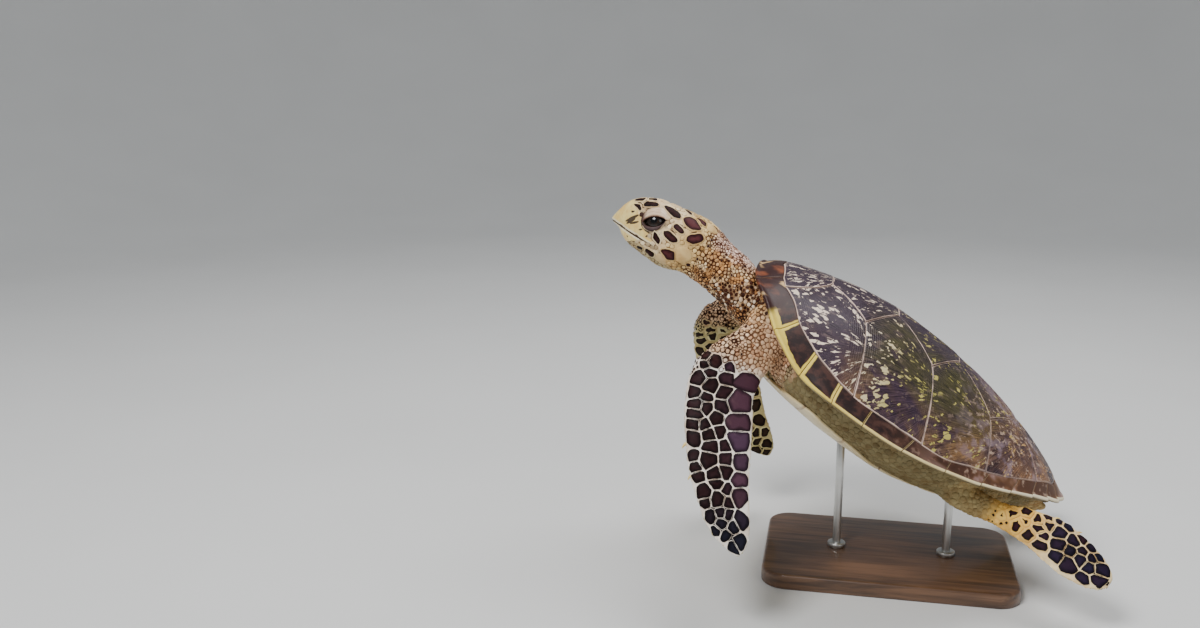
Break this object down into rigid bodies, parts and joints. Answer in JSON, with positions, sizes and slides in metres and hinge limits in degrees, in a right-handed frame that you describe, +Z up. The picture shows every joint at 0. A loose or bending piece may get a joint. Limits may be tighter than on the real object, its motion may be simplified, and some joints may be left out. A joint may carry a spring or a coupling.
{
  "type": "sea turtle",
  "caption": "Hawksbill sea turtle swimming nose-up, front flippers swept down and back, hooked beak and plated shell, held over a flat rectangular base by slim upright rods.",
  "frame": {"origin": "middle of the underside of the stand's base, on the floor", "axes": "+Z up, -X the way the turtle swims, -Y towards the turtle's left side"},
  "size_m": [0.5845, 0.4064, 0.4493],
  "materials": {
    "carapace_horn": "wet polished horn, dark brown with pale streaks",
    "rim_horn": "wet polished horn, amber yellow",
    "plastron_horn": "horn, dull cream yellow",
    "turtle_skin": "scaly skin, dark scales with cream edges on tan",
    "beak_horn": "polished horn, yellow with a pale edge",
    "eye_black": "wet black eye",
    "base_wood": "oiled dark hardwood",
    "rod_steel": "satin brushed steel"
  },
  "bodies": {
    "root": {"beak_lower": "beak_horn", "beak_upper": "beak_horn", "costal_scute_left_1": "carapace_horn", "costal_scute_left_2": "carapace_horn", "costal_scute_left_3": "carapace_horn", "costal_scute_left_4": "carapace_horn", "costal_scute_right_1": "carapace_horn", "costal_scute_right_2": "carapace_horn", "costal_scute_right_3": "carapace_horn", "costal_scute_right_4": "carapace_horn", "eye_left": "eye_black", "eye_right": "eye_black", "flipper_front_left": "turtle_skin", "flipper_front_right": "turtle_skin", "flipper_hind_left": "turtle_skin", "flipper_hind_right": "turtle_skin", "head": "turtle_skin", "marginal_scute_left_1": "rim_horn", "marginal_scute_left_10": "rim_horn", "marginal_scute_left_11": "rim_horn", "marginal_scute_left_2": "rim_horn", "marginal_scute_left_3": "rim_horn", "marginal_scute_left_4": "rim_horn", "marginal_scute_left_5": "rim_horn", "marginal_scute_left_6": "rim_horn", "marginal_scute_left_7": "rim_horn", "marginal_scute_left_8": "rim_horn", "marginal_scute_left_9": "rim_horn", "marginal_scute_right_1": "rim_horn", "marginal_scute_right_10": "rim_horn", "marginal_scute_right_11": "rim_horn", "marginal_scute_right_2": "rim_horn", "marginal_scute_right_3": "rim_horn", "marginal_scute_right_4": "rim_horn", "marginal_scute_right_5": "rim_horn", "marginal_scute_right_6": "rim_horn", "marginal_scute_right_7": "rim_horn", "marginal_scute_right_8": "rim_horn", "marginal_scute_right_9": "rim_horn", "neck": "turtle_skin", "nuchal_scute": "rim_horn", "plastron": "plastron_horn", "stand_base": "base_wood", "stand_collar_front": "rod_steel", "stand_collar_rear": "rod_steel", "stand_rod_front": "rod_steel", "stand_rod_rear": "rod_steel", "supracaudal_scute_left": "rim_horn", "supracaudal_scute_right": "rim_horn", "tail": "turtle_skin", "trunk": "turtle_skin", "vertebral_scute_1": "carapace_horn", "vertebral_scute_2": "carapace_horn", "vertebral_scute_3": "carapace_horn", "vertebral_scute_4": "carapace_horn", "vertebral_scute_5": "carapace_horn"}
  },
  "joints": []
}
